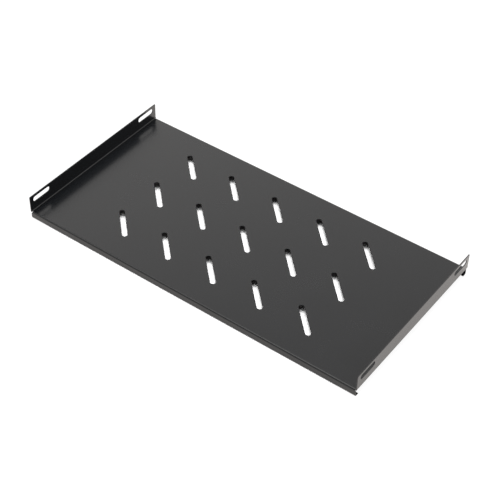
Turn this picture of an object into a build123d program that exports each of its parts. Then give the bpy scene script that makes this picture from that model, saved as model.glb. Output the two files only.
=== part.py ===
# Fixed rack shelf: one sheet of steel, punched with slots and folded.
# The origin is on the floor under the middle of the shelf. +X runs along the width,
# +Y from the front to the rear and +Z up. All sizes are in millimetres.
from build123d import *
import os

# Overall sizes, over the folded sheet
width = 497.0                # over the outer faces of the two side flanges
depth = 250.0                # over the outer faces of the front and rear lips
sheet = 1.2                  # thickness of the steel
inner_bend = 1.1             # inside radius of every fold

# Side flanges, folded up
flange_rise = 23.0           # from the top of the deck to the top edge
flange_corner = 1.2          # radius of the two upper corners of each flange

# Front and rear lips, folded down and then inwards
lip_drop = 11.0              # from the top of the deck to the underside of the return
lip_return = 6.0             # from the lip's outer face to the return's free edge
lip_end_gap = 0.5            # from the front or rear fold down to where the lip widens
lip_end_inset = 1.0          # from a flange's outer face in to the widened lip's end

# Relief cuts where a side fold meets the front or rear fold
relief_width = 0.5
relief_past_bend = 0.8       # how far a cut runs past the front or rear fold

# Ventilation slots in the deck
vent_length = 50.0           # over the round ends
vent_width = 7.0
vent_slant = -45.0           # degrees from +X: each slot runs from rear left to front right
vent_columns = 5
vent_rows = 3
vent_pitch_x = 70.0
vent_pitch_y = 70.0

# Mounting slots in the side flanges, for the rack's bolts
mount_length = 30.0          # over the round ends
mount_width = 7.4
mount_inset = 21.0           # from the flange's front or rear end to the slot's middle
mount_below_top = 7.5        # from the flange's top edge to the slot's middle line

# Worked out from the sizes above
outer_bend = inner_bend + sheet
middle_bend = inner_bend + sheet / 2
deck_middle = lip_drop - sheet / 2
flange_top = lip_drop + flange_rise
fold_line_x = width / 2 - outer_bend      # where a side fold begins
lip_end_x = width / 2 - lip_end_inset
lip_end_top = lip_drop - outer_bend - lip_end_gap
relief_length = outer_bend + relief_past_bend
mount_height = flange_top - mount_below_top
mount_spacing = depth - 2 * mount_inset


with BuildPart() as shelf:
    # Deck, lips and returns: a strip of the sheet's thickness, followed from one free edge
    # to the other in side view and drawn out across the width, up to the side folds
    with BuildSketch(Plane.YZ):
        with BuildLine():
            FilletPolyline(
                (lip_return - depth / 2, sheet / 2),
                (sheet / 2 - depth / 2, sheet / 2),
                (sheet / 2 - depth / 2, deck_middle),
                (depth / 2 - sheet / 2, deck_middle),
                (depth / 2 - sheet / 2, sheet / 2),
                (depth / 2 - lip_return, sheet / 2),
                radius=middle_bend,
            )
        trace(line_width=sheet)
    extrude(amount=fold_line_x, both=True)

    # Below their folds the lips are wider and reach under the side flanges
    with BuildSketch(Plane.YZ):
        with BuildLine():
            FilletPolyline(
                (lip_return - depth / 2, sheet / 2),
                (sheet / 2 - depth / 2, sheet / 2),
                (sheet / 2 - depth / 2, lip_end_top),
                radius=middle_bend,
            )
        trace(line_width=sheet)
        mirror(about=Plane.YZ)
    extrude(amount=lip_end_x, both=True)

    # Side flanges: the fold and the upright wall in front view, drawn out along the depth
    with BuildSketch(Plane.XZ):
        with BuildLine():
            fold = JernArc(
                start=(fold_line_x, deck_middle), tangent=(1, 0), radius=middle_bend, arc_size=90
            )
            Line(fold @ 1, (width / 2 - sheet / 2, flange_top))
        trace(line_width=sheet)
        mirror(about=Plane.YZ)
    extrude(amount=depth / 2, both=True)

    # The flanges' upper corners
    top_corners = shelf.edges().filter_by(Axis.X).group_by(Axis.Z)[-1]
    fillet(top_corners, radius=flange_corner)

    # Relief cuts at the four corners of the deck, open at the front and rear
    with BuildSketch(Plane.XY.offset(lip_end_top)):
        with GridLocations(2 * fold_line_x + relief_width, depth, 2, 2):
            SlotOverall(2 * relief_length, relief_width, rotation=90)
    extrude(amount=flange_rise, mode=Mode.SUBTRACT)

    # Ventilation slots
    with BuildSketch(Plane.XY.offset(lip_drop)):
        with GridLocations(vent_pitch_x, vent_pitch_y, vent_columns, vent_rows):
            SlotOverall(vent_length, vent_width, rotation=vent_slant)
    extrude(amount=-sheet, mode=Mode.SUBTRACT)

    # Mounting slots, through both flanges at once
    with BuildSketch(Plane.YZ):
        with Locations((0, mount_height)):
            with GridLocations(mount_spacing, 0, 2, 1):
                SlotOverall(mount_length, mount_width)
    extrude(amount=width / 2, both=True, mode=Mode.SUBTRACT)

shelf.part.label = "shelf"

os.makedirs("parts", exist_ok=True)
export_step(shelf.part, "parts/shelf.step")
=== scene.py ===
# Looks for a fixed rack shelf: one folded steel sheet in black powder coat, in a pale studio.
from math import pi, radians

import bpy
import numpy as np
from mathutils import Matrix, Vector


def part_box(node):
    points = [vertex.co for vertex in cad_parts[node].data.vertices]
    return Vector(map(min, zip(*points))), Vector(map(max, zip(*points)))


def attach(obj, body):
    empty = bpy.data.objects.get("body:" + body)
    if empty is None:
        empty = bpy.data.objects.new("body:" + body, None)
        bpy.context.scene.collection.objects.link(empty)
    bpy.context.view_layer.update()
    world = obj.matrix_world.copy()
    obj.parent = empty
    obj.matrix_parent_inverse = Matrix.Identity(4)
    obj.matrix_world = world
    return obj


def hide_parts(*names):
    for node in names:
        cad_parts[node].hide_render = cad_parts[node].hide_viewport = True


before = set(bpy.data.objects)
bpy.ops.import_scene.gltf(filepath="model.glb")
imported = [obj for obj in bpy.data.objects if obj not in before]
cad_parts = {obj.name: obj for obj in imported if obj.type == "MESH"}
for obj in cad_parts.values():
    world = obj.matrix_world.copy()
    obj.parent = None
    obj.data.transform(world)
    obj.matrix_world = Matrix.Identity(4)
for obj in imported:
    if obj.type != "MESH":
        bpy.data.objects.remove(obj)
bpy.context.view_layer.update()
lowCorner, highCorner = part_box("shelf")
print("frame loaded, shelf box", [round(v, 4) for v in (*lowCorner, *highCorner)])


# Camera

cameraSettings = {
    "location": (0.7040, -0.9777, 1.1184),
    "rotation": (46.917, -0.863, 36.655),    # degrees
    "sensor": 36.0,                          # mm
    "lens": 93.86,                           # mm
    "shift": 0.014,                          # the photograph is cropped a little off centre
    "clip": (0.01, 100.0),
}

cameraData = bpy.data.cameras.new("camera")
cameraData.sensor_width = cameraSettings["sensor"]
cameraData.lens = cameraSettings["lens"]
cameraData.shift_x = cameraSettings["shift"]
cameraData.clip_start, cameraData.clip_end = cameraSettings["clip"]
camera = bpy.data.objects.new("camera", cameraData)
camera.location = cameraSettings["location"]
camera.rotation_euler = [radians(a) for a in cameraSettings["rotation"]]
bpy.context.scene.collection.objects.link(camera)
bpy.context.scene.camera = camera
print("camera placed")


# Shader helpers

class Socket:
    # Wraps a node's output, so that + - and * on it add Math nodes
    def __init__(self, shader, link):
        self.shader, self.link = shader, link

    def math(self, operation, *others, first=None):
        values = [self, *others] if first is None else [first, self]
        return self.shader.node("ShaderNodeMath", {"operation": operation}, dict(enumerate(values)))

    def __add__(self, other):
        return self.math("ADD", other)

    def __sub__(self, other):
        return self.math("SUBTRACT", other)

    def __rsub__(self, other):
        return self.math("SUBTRACT", first=other)

    def __mul__(self, other):
        return self.math("MULTIPLY", other)

    __radd__, __rmul__ = __add__, __mul__


class Shader:
    def __init__(self, tree):
        self.tree = tree
        tree.nodes.clear()

    def node(self, kind, settings=None, inputs=None, output=0):
        # One node: its settings first, then values or links into its sockets, by name or number
        made = self.tree.nodes.new(kind)
        for name, value in (settings or {}).items():
            if name == "stops":
                ramp = made.color_ramp
                while len(ramp.elements) < len(value):
                    ramp.elements.new(0.5)
                for stop, (place, colour) in zip(ramp.elements, value):
                    stop.position, stop.color = place, colour
            else:
                setattr(made, name, value)
        for name, value in (inputs or {}).items():
            if isinstance(value, Socket):
                self.tree.links.new(value.link, made.inputs[name])
            else:
                made.inputs[name].default_value = value
        return Socket(self, made.outputs[output]) if made.outputs else None


def newMaterial(name):
    material = bpy.data.materials.new(name)
    material.use_nodes = True
    return material, Shader(material.node_tree)


def grey(value):
    return (value, value, value, 1.0)


# Folded sheet

sheetSettings = {        # metres; width, depth and height are read from the CAD node
    "thickness": 0.0012,
    "innerBend": 0.0011,         # inside radius of every fold
    "lipDrop": 0.011,
    "lipReturn": 0.006,
    "lipEndGap": 0.0005,         # from the fold down to where a lip widens
    "lipEndInset": 0.001,        # from a flange's outer face in to a lip's end
    "flangeCorner": 0.0012,
    "reliefWidth": 0.0005,
    "reliefPastBend": 0.0008,
    "ventSize": (0.050, 0.007),
    "ventSlant": -45.0,          # degrees
    "ventCount": (5, 3),
    "ventPitch": 0.070,
    "mountSize": (0.030, 0.0074),
    "mountInset": 0.021,
    "mountBelowTop": 0.0075,
    "edgeRound": 0.00025,        # radius of every cut edge under the coat
    "sharpAngle": 50.0,          # degrees; a sharper edge isn't smoothed over
    # Fineness of the mesh
    "foldSteps": 9,              # faces round each 90 degree fold
    "edgeSteps": 3,              # faces round each cut edge
    "cellSteps": 16,             # faces along each side of a slot's cell
    "cornerSteps": 4,            # of those, the ones round a flange's corner
    "endSteps": 15,              # faces from the vents to a side fold
    "marginLines": (0.009, 0.015),               # metres past the vents' cells
    "slitStrip": 0.00095,                        # short faces before a relief cut's end
    "slitLines": (-1, -0.7, 0, 0.7, 1),          # across a relief cut, as shares of half its width
    "sideFoldLines": (30, 42, 54, 66, 78, 90),   # degrees round the side fold, beyond the cut
    "wallStrip": 0.0035,                         # metres from the side fold to the mounting slots' cells
    "ventRings": (0, 0.1, 0.28, 0.56, 1.0),      # shares of the way from a slot's edge to its cell's edge
    "mountRings": (0, 0.25, 0.6, 1.0),
}
slack = 1e-7             # metres, for telling places apart


def lines(*runs):
    # Grid lines from runs of (start, end, number of steps) that follow on from one another
    return np.unique(np.concatenate([np.linspace(a, b, n + 1) for a, b, n in runs]).round(9))


def mirrored(values):
    return np.unique(np.concatenate([-values, values]).round(9))


def followFolds(run, above, folds, radius):
    # Position along a line that goes straight and turns by 90 degrees at each fold.
    # In a fold from u0 the line turns by a = (u - u0) / radius, and goes on by radius * (sin a, 1 - cos a).
    # A point above the line lies along its normal (-sin turn, cos turn).
    along, up, turn = np.zeros_like(run), np.zeros_like(run), np.zeros_like(run)
    heading, done = 0.0, 0.0
    for start, side in folds:
        straight = np.clip(run, done, start) - done
        angle = np.clip((run - start) / radius, 0, pi / 2)
        ahead, aside = straight + radius * np.sin(angle), side * radius * (1 - np.cos(angle))
        along += ahead * np.cos(heading) - aside * np.sin(heading)
        up += ahead * np.sin(heading) + aside * np.cos(heading)
        turn += side * angle
        heading += side * pi / 2
        done = start + radius * pi / 2
    straight = np.maximum(run - done, 0)
    along += straight * np.cos(heading)
    up += straight * np.sin(heading)
    return along - above * np.sin(turn), up + above * np.cos(turn)


def latticePatch(across, deep, keep=None):
    # Points (s, t) on every crossing of two sets of lines, and the four-cornered faces between them.
    # keep says, from the middles of the faces, which ones stay.
    s, t = np.meshgrid(across, deep, indexing="ij")
    number = np.arange(s.size).reshape(s.shape)
    faces = np.stack([number[:-1, :-1], number[1:, :-1], number[1:, 1:], number[:-1, 1:]], -1).reshape(-1, 4)
    points = np.stack([s.ravel(), t.ravel()], -1)
    if keep is not None:
        middle = points[faces].mean(1)
        faces = faces[keep(middle[:, 0], middle[:, 1])]
    return points, faces


def slotOutline(centre, size, slant, steps):
    # A slot with round ends, anticlockwise: half circles of half its width round the two end centres,
    # with straight sides of as many steps between them.
    radius, reach = size[1] / 2, (size[0] - size[1]) / 2
    swing = np.linspace(-pi / 2, pi / 2, steps, endpoint=False)
    side = np.linspace(reach, -reach, steps, endpoint=False)
    x = np.concatenate([reach + radius * np.cos(swing), side])
    y = np.concatenate([radius * np.sin(swing), np.full(steps, radius)])
    x, y = np.concatenate([x, -x]), np.concatenate([y, -y])
    c, d = np.cos(slant), np.sin(slant)
    return np.stack([centre[0] + c * x - d * y, centre[1] + d * x + c * y], -1)


def cellOutline(lowS, highT, highS, lowT):
    # A cell's edge, anticlockwise from its lowest corner, from the places along its four sides:
    # lowS along the side at the lowest t, highT along the side at the highest s, and so on round
    sides = [(lowS[:-1], lowT[0]), (lowS[-1], highT[:-1]), (highS[:0:-1], lowT[-1]), (lowS[0], lowT[:0:-1])]
    return np.concatenate([np.stack(np.broadcast_arrays(s, t), -1) for s, t in sides])


def slottedCell(outline, slot, shares):
    # Rings from the slot's edge to the cell's edge: point = slot + share * (cell - slot)
    points = slot[None] + shares[:, None, None] * (outline - slot)[None]
    rings, around = len(shares), len(slot)
    number = np.arange(rings * around).reshape(rings, around)
    after = np.roll(number, -1, axis=1)
    faces = np.stack([number[1:], after[1:], after[:-1], number[:-1]], -1).reshape(-1, 4)
    return points.reshape(-1, 2), faces


def flipped(patch, s, t):
    # The patch mirrored by the signs s and t, with its faces still anticlockwise
    points, faces = patch
    return points * (s, t), faces if s * t > 0 else faces[:, ::-1]


def joinPatches(patches):
    # One pattern, where points in the same square of a 5 micron grid become one.
    # The grid is shifted, so that no round size falls on a line between two squares.
    perMetre, shift = 2e5, 0.21
    count = np.cumsum([0] + [len(p) for p, f in patches])
    points = np.concatenate([p for p, f in patches])
    faces = np.concatenate([f + n for (p, f), n in zip(patches, count)])
    square = np.round(points * perMetre + shift).astype(np.int64)
    first, number = np.unique(square, axis=0, return_index=True, return_inverse=True)[1:]
    faces = number.ravel()[faces]
    used, faces = np.unique(faces, return_inverse=True)
    return points[first][used], faces.reshape(-1, 4)


def roundedCorner(outline, centre, radius):
    # Points past the centre both ways are drawn in to the circle round it
    beyond = (outline > centre - slack).all(1)
    away = outline[beyond] - centre
    outline[beyond] = centre + radius * away / np.linalg.norm(away, axis=1, keepdims=True)
    return outline


def flatPattern(sizes, width, depth, height):
    # The sheet before it is folded: s runs across the width and t along the depth, from its middle.
    # Lengths in the folds are taken along the middle of the sheet's thickness.
    outer = sizes["innerBend"] + sizes["thickness"]
    radius = sizes["innerBend"] + sizes["thickness"] / 2
    arc, steps, corner = radius * pi / 2, sizes["cellSteps"], sizes["flangeCorner"]
    foldS, foldT = width / 2 - outer, depth / 2 - outer
    wallStart = foldS + arc
    wallEnd = wallStart + height - (sizes["lipDrop"] - sizes["thickness"] / 2) - radius
    lipStart = foldT + arc
    returnFold = lipStart + sizes["lipDrop"] - sizes["thickness"] - 2 * radius
    lipEnd = returnFold + arc + sizes["lipReturn"] - outer
    slitRound = sizes["reliefWidth"] / 2
    slit, slitMiddle = foldS + sizes["reliefWidth"], foldS + slitRound
    slitEnd = foldT - sizes["reliefPastBend"] + slitRound
    pitch = sizes["ventPitch"]
    ventS, ventT = [pitch * count / 2 for count in sizes["ventCount"]]
    fine = pitch / steps

    # Lines across the deck and lips, and along the depth
    deckS = mirrored(lines((0, ventS, round(ventS / fine)), (ventS, foldS, sizes["endSteps"])))
    ventLinesT = lines((-ventT, ventT, round(2 * ventT / fine)))
    near, far = [ventT + reach for reach in sizes["marginLines"]]
    beforeSlit = slitEnd - sizes["slitStrip"]
    marginT = lines((ventT, near, 3), (near, far, 3), (far, beforeSlit, 1), (beforeSlit, slitEnd, 1))
    deckT = np.unique(np.concatenate([ventLinesT, mirrored(marginT), (-foldT, foldT)]).round(9))
    widerT = lipStart + sizes["lipEndGap"]
    lipT = lines(
        (foldT, lipStart, sizes["foldSteps"]), (lipStart, widerT, 1), (widerT, returnFold, 3),
        (returnFold, returnFold + arc, sizes["foldSteps"]), (returnFold + arc, lipEnd, 2),
    )
    lipEndS = np.array([foldS, slit, width / 2 - sizes["lipEndInset"]])

    # Lines up the side folds and walls
    cellFrom = wallStart + sizes["wallStrip"]
    wallLines = lines((wallStart, cellFrom, 2), (cellFrom, wallEnd, steps))
    slitLines = slitMiddle + slitRound * np.array(sizes["slitLines"])
    foldLines = foldS + radius * np.radians(sizes["sideFoldLines"])
    flangeS = np.unique(np.concatenate([slitLines, foldLines, wallLines]).round(9))

    # Lines round the mounting slots' cells at the ends of the walls: in depth each cell has the
    # vents' last 4 steps, 8 to the relief cut's end and 4 beyond it, as many as the cell's other sides
    lastVents = ventLinesT[ventLinesT > ventT - 4.5 * fine]
    cellT = np.unique(np.concatenate([lastVents, marginT, np.linspace(slitEnd, depth / 2, 5)]).round(9))
    flangeT = np.unique(np.concatenate([-cellT, ventLinesT, cellT]).round(9))
    cellS = wallLines[wallLines > cellFrom - slack]
    freeS, freeT = [
        lines((start, end - corner, steps - sizes["cornerSteps"]), (end - corner, end, sizes["cornerSteps"]))
        for start, end in ((cellFrom, wallEnd), (cellT[0], depth / 2))
    ]

    # Deck and lips
    patches = [latticePatch(deckS, deckT, lambda s, t: ~((abs(s) < ventS) & (abs(t) < ventT)))]
    for end in (-1, 1):
        patches.append(flipped(latticePatch(deckS, lipT), 1, end))
        for side in (-1, 1):
            patches.append(flipped(latticePatch(lipEndS, lipT[lipT > widerT - slack]), side, end))

    # Vents
    shares = np.array(sizes["ventRings"])
    for column in range(sizes["ventCount"][0]):
        for row in range(sizes["ventCount"][1]):
            s = np.linspace(0, pitch, steps + 1) - ventS + column * pitch
            t = np.linspace(0, pitch, steps + 1) - ventT + row * pitch
            slot = slotOutline((s.mean(), t.mean()), sizes["ventSize"], radians(sizes["ventSlant"]), steps)
            patches.append(slottedCell(cellOutline(s, t, s, t), np.roll(slot, steps // 2, axis=0), shares))

    # Side folds and walls
    wall = latticePatch(flangeS, flangeT, lambda s, t: (
        ~((s > cellFrom) & (abs(t) > cellT[0])) & ~((s < slit) & (abs(t) > slitEnd))
    ))
    outline = cellOutline(cellS, freeT, freeS, cellT)
    outline = roundedCorner(outline, np.array([wallEnd - corner, depth / 2 - corner]), corner)
    middle = (wallEnd - sizes["mountBelowTop"], depth / 2 - sizes["mountInset"])
    slot = slotOutline(middle, sizes["mountSize"], pi / 2, steps)
    cell = slottedCell(outline, np.roll(slot, 2 * steps, axis=0), np.array(sizes["mountRings"]))
    for side in (-1, 1):
        patches.append(flipped(wall, side, 1))
        for end in (-1, 1):
            patches.append(flipped(cell, side, end))

    points, faces = joinPatches(patches)
    # The round end of each relief cut: t = slitEnd - sqrt(r^2 - (s - middle)^2)
    s, t = abs(points[:, 0]), abs(points[:, 1])
    inSlit = (s > foldS - slack) & (s < slit + slack) & (abs(t - slitEnd) < slack)
    bulge = np.sqrt(np.maximum(slitRound ** 2 - (s[inSlit] - slitMiddle) ** 2, 0))
    points[inSlit, 1] = np.sign(points[inSlit, 1]) * (slitEnd - bulge)
    folds = {"radius": radius, "sideFold": foldS, "lipFolds": (foldT, returnFold)}
    return points, faces, folds


def foldedSheet(sizes, low, high):
    width, depth, height = (high[k] - low[k] for k in range(3))
    points, faces, folds = flatPattern(sizes, width, depth, height)
    print("flat pattern", len(points), "points", len(faces), "faces")

    def fold(at, above):
        # Flat pattern (s, t) and height above the sheet's middle, to the folded place
        radius, sideFold, lipFolds = folds["radius"], folds["sideFold"], folds["lipFolds"]
        s, t = abs(at[:, 0]), abs(at[:, 1])
        x, upS = followFolds(s, above, [(sideFold, 1)], radius)
        y, upT = followFolds(t, above, [(start, -1) for start in lipFolds], radius)
        onWall = (s > sideFold + slack) & (t < lipFolds[0] + radius * pi / 2)
        x, y = np.sign(at[:, 0]) * np.where(onWall, x, s), np.sign(at[:, 1]) * np.where(onWall, t, y)
        z = np.where(onWall, upS, upT) + sizes["lipDrop"] - sizes["thickness"] / 2
        return np.stack([x, y, z + low[2]], -1)

    # Edges with a face on one side only are the cut edges of the sheet
    ends = np.stack([faces, np.roll(faces, -1, axis=1)], -1).reshape(-1, 2)
    total = len(points)
    code, back = ends[:, 0] * total + ends[:, 1], ends[:, 1] * total + ends[:, 0]
    rim = ends[~np.isin(code, back)]
    heading = points[rim[:, 1]] - points[rim[:, 0]]
    heading /= np.linalg.norm(heading, axis=1, keepdims=True)
    inward = np.stack([-heading[:, 1], heading[:, 0]], -1)
    leaving, arriving = np.zeros((total, 2)), np.zeros((total, 2))
    leaving[rim[:, 0]], arriving[rim[:, 1]] = inward, inward
    cut = np.unique(rim)
    mitre = leaving[cut] + arriving[cut]
    mitre /= (1 + (leaving[cut] * arriving[cut]).sum(1))[:, None]

    # Section of a cut edge: a quarter circle of radius r from the upper face, and its mirror below
    half, r = sizes["thickness"] / 2, sizes["edgeRound"]
    angle = np.linspace(0, pi / 2, sizes["edgeSteps"] + 1)
    inset = r * (1 - np.sin(angle))
    above = half - r * (1 - np.cos(angle))
    inset, above = np.concatenate([inset, inset[::-1]]), np.concatenate([above, -above[::-1]])

    skin = points.copy()
    skin[cut] += r * mitre
    upper, lower = fold(skin, np.full(total, half)), fold(skin, np.full(total, -half))
    rings = [fold(points[cut] + d * mitre, np.full(len(cut), w)) for d, w in zip(inset[1:-1], above[1:-1])]
    place = np.concatenate([upper, lower, *rings])

    # Faces above, faces below, and strips between the rings round the cut edges
    order = np.zeros(total, int)
    order[cut] = np.arange(len(cut))
    between = [2 * total + k * len(cut) + order for k in range(len(rings))]
    numbers = [np.arange(total), *between, np.arange(total) + total]
    a, b = rim.T
    strips = [np.stack([one[b], one[a], two[a], two[b]], -1) for one, two in zip(numbers, numbers[1:])]
    allFaces = np.concatenate([faces, faces[:, ::-1] + total, *strips])

    mesh = bpy.data.meshes.new("coatedSheet")
    mesh.from_pydata(place.tolist(), [], allFaces.tolist())
    mesh.update()
    mesh.shade_smooth()
    mesh.set_sharp_from_angle(angle=radians(sizes["sharpAngle"]))
    piece = bpy.data.objects.new("coatedSheet", mesh)
    bpy.context.scene.collection.objects.link(piece)
    return piece


coatedSheet = foldedSheet(sheetSettings, lowCorner, highCorner)
normals = coatedSheet.modifiers.new("faceWeights", "WEIGHTED_NORMAL")
normals.mode = "FACE_AREA"
normals.keep_sharp = True
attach(coatedSheet, "root")
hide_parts("shelf")
print("folded sheet made", len(coatedSheet.data.vertices), "vertices", len(coatedSheet.data.polygons), "faces")


# Black powder coat

coatSettings = {
    "colour": (0.0022, 0.0031, 0.0044),      # linear, a black with a trace of blue
    "variation": 0.25,           # share by which the tone drifts
    "driftScale": 14.0,          # slow patches in a metre
    "roughness": 0.26,
    "roughnessDrift": (0.05, 0.04),          # from the slow patches and from the grain
    "gloss": 1.58,               # index of refraction of the cured powder
    "grainSize": 0.0008,         # metres, the fine texture
    "grainDepth": 0.0000015,
    "peelSize": 0.0034,          # metres, the slow waviness under it
    "peelDepth": 0.000004,
}


def powderCoat(sizes):
    material, shader = newMaterial("powderCoat")
    place = shader.node("ShaderNodeTexCoord", output="Object")

    def noise(scale, detail, **more):
        return shader.node("ShaderNodeTexNoise", None, {"Vector": place, "Scale": scale, "Detail": detail, **more})

    grain = noise(1 / sizes["grainSize"], 2.0, Roughness=0.55)
    peel = noise(1 / sizes["peelSize"], 1.0)
    cloud = noise(sizes["driftScale"], 3.0)
    height = grain * sizes["grainDepth"] + peel * sizes["peelDepth"]
    bump = shader.node("ShaderNodeBump", None, {"Height": height, "Strength": 1.0, "Distance": 1.0})
    tone = grain * 0.5 + cloud * 0.5
    darker, lighter = [
        tuple(c * (1 + k * sizes["variation"]) for c in sizes["colour"]) + (1.0,) for k in (-1, 1)
    ]
    colour = shader.node("ShaderNodeMix", {"data_type": "RGBA"}, {0: tone, 6: darker, 7: lighter}, 2)
    slow, fine = sizes["roughnessDrift"]
    rough = cloud * slow + grain * fine + (sizes["roughness"] - (slow + fine) / 2)
    surface = shader.node("ShaderNodeBsdfPrincipled", None, {
        "Base Color": colour, "Roughness": rough, "IOR": sizes["gloss"], "Normal": bump,
    })
    shader.node("ShaderNodeOutputMaterial", None, {"Surface": surface})
    return material


coatedSheet.data.materials.append(powderCoat(coatSettings))
print("powder coat made")


# Pale studio

skySettings = {
    "fill": 0.04,        # strength of the surroundings on matt surfaces
    # What gloss sees, as (direction from -1 to 1, brightness)
    "heights": ((0.0, 1.16), (0.62, 1.24), (0.68, 1.18), (0.75, 0.41), (0.8, 0.6), (0.86, 1.55), (0.92, 2.8)),
    "sides": ((-0.56, 1.14), (-0.42, 1.0), (-0.28, 0.88)),    # brighter on the left
    "depths": ((-0.7, 0.45), (-0.3, 1.0)),                    # darker in front
    "tint": (1.025, 1.0, 0.975),
}


def surroundings(sizes):
    world = bpy.data.worlds.new("surroundings")
    world.use_nodes = True
    shader = Shader(world.node_tree)
    direction = shader.node("ShaderNodeTexCoord", output="Generated")
    parts = [shader.node("ShaderNodeSeparateXYZ", None, {"Vector": direction}, axis) for axis in range(3)]

    def graded(part, stops):
        # Brightness along one direction, from -1 to 1. The ramp holds a quarter of it, for values over 1
        headroom = 4.0
        stops = [(place / 2 + 0.5, grey(value / headroom)) for place, value in stops]
        return shader.node("ShaderNodeValToRGB", {"stops": stops}, {"Fac": part * 0.5 + 0.5}) * headroom

    gloss = graded(parts[2], sizes["heights"]) * graded(parts[0], sizes["sides"]) * graded(parts[1], sizes["depths"])
    seen, shiny, through = [
        shader.node("ShaderNodeLightPath", output=kind)
        for kind in ("Is Camera Ray", "Is Glossy Ray", "Is Transmission Ray")
    ]
    plain = shader.node("ShaderNodeBackground", None, {
        "Color": grey(1.0), "Strength": (seen + through) * (1 - sizes["fill"]) + sizes["fill"],
    })
    glossy = shader.node("ShaderNodeBackground", None, {"Color": (*sizes["tint"], 1.0), "Strength": gloss})
    sky = shader.node("ShaderNodeMixShader", None, {0: shiny, 1: plain, 2: glossy})
    shader.node("ShaderNodeOutputWorld", None, {"Surface": sky})
    bpy.context.scene.world = world


lampSettings = {         # strength, degrees across, turn in degrees
    "key": (0.75, 30.0, (5.5, 0.0, -90.0)),      # overhead
    "dome": (1.15, 67.0, (5.5, 0.0, -90.0)),     # round the key
    "right": (1.0, 14.0, (0.0, 60.0, 0.0)),      # low ones
    "front": (1.0, 14.0, (0.0, 60.0, -95.0)),
}


def softLamps(lamps):
    for name, (strength, angle, turn) in lamps.items():
        light = bpy.data.lights.new(name, "SUN")
        light.energy = strength
        light.angle = radians(angle)
        lamp = bpy.data.objects.new(name, light)
        lamp.rotation_euler = [radians(a) for a in turn]
        lamp.visible_glossy = False      # gloss sees the graded surroundings
        bpy.context.scene.collection.objects.link(lamp)


floorSettings = {
    "size": 12.0,
    "drop": 0.0002,              # metres below the shelf
    "matt": 0.9,                 # share of the light that the open floor gives back
    "underMattPaintedShade": 0.3,            # painted shade: and the floor under the deck, darker in bounced light and in gloss
    "seen": 1.14,                # towards the camera, white away from shadows
    "glow": 0.91,                # part of it that no shadow reaches, so that shadows stay light
    "underSeenPaintedLight": 2.8,            # painted light: under the deck, where the vents let in little light, the camera sees the floor this much brighter
    "underHalf": (0.205, 0.112),     # metres, half the size of that part under the deck, with painted shade and painted light
    "underFade": (0.0, 0.025),       # metres past it, where the floor becomes open
    "gloss": (1.08, 1.03, 0.995),    # what gloss sees of the open floor
    "sides": 0.12,               # painted reflection: how much brighter gloss sees it on the left and right
    "sidesFade": (0.04, 0.06),       # metres past the darker part
    "behind": 0.45,              # painted reflection: and behind the shelf
    "behindFade": (0.115, 0.145),    # metres back from the shelf's middle
}


def paleFloor(sizes, ground):
    material, shader = newMaterial("paleFloor")
    seen, shiny = [shader.node("ShaderNodeLightPath", output=kind) for kind in ("Is Camera Ray", "Is Glossy Ray")]
    place = shader.node("ShaderNodeTexCoord", output="Object")
    across, back = [shader.node("ShaderNodeSeparateXYZ", None, {"Vector": place}, axis) for axis in (0, 1)]
    beyond = [part.math("ABSOLUTE") - half for part, half in zip((across, back), sizes["underHalf"])]

    def fade(value, reach):
        # From 0 to 1 over the reach, with soft ends
        smooth = {"interpolation_type": "SMOOTHSTEP"}
        return shader.node("ShaderNodeMapRange", smooth, {"Value": value, "From Min": reach[0], "From Max": reach[1]})

    # Matt floor: as the camera sees it, and as it lights the shelf, with painted light for the camera and painted
    # shade for bounced light and gloss under the deck
    openFloor = fade(beyond[0].math("MAXIMUM", beyond[1]), sizes["underFade"])
    matt = openFloor * (sizes["seen"] - sizes["glow"] - sizes["underSeenPaintedLight"]) + sizes["underSeenPaintedLight"]
    # Painted shade: under the deck the floor gives back less light, so it is darker in bounced light and in gloss
    given = openFloor * (sizes["matt"] - sizes["underMattPaintedShade"]) + sizes["underMattPaintedShade"]
    matt = matt * seen + (1 - openFloor * shiny) * (1 - seen) * given
    matt = shader.node("ShaderNodeCombineColor", None, {0: matt, 1: matt, 2: matt})
    surface = shader.node("ShaderNodeBsdfDiffuse", None, {"Color": matt})

    # Glow that no shadow reaches, painted light: for the camera, and for gloss, with a painted reflection brighter at
    # the sides and behind the shelf
    glow = shader.node("ShaderNodeEmission", None, {
        "Color": grey(1.0), "Strength": seen * openFloor * sizes["glow"],
    })
    sides, behind = fade(beyond[0], sizes["sidesFade"]), fade(back, sizes["behindFade"])
    shown = shader.node("ShaderNodeEmission", None, {
        "Color": (*sizes["gloss"], 1.0),
        "Strength": shiny * openFloor * (sides * sizes["sides"] + behind * sizes["behind"] + 1),
    })
    for light in (glow, shown):
        surface = shader.node("ShaderNodeAddShader", None, {0: surface, 1: light})

    # From below the floor is clear, so that the shelf's underside can be looked at
    below = shader.node("ShaderNodeNewGeometry", output="Backfacing")
    clear = shader.node("ShaderNodeBsdfTransparent")
    surface = shader.node("ShaderNodeMixShader", None, {0: below, 1: surface, 2: clear})
    shader.node("ShaderNodeOutputMaterial", None, {"Surface": surface})

    reach, height = sizes["size"] / 2, ground - sizes["drop"]
    corners = [(x * reach, y * reach, height) for x, y in ((-1, -1), (1, -1), (1, 1), (-1, 1))]
    mesh = bpy.data.meshes.new("floor")
    mesh.from_pydata(corners, [], [(0, 1, 2, 3)])
    mesh.materials.append(material)
    floor = bpy.data.objects.new("floor", mesh)
    bpy.context.scene.collection.objects.link(floor)


surroundings(skySettings)
softLamps(lampSettings)
paleFloor(floorSettings, lowCorner[2])
bpy.context.scene.view_settings.view_transform = "Standard"
print("studio lit")
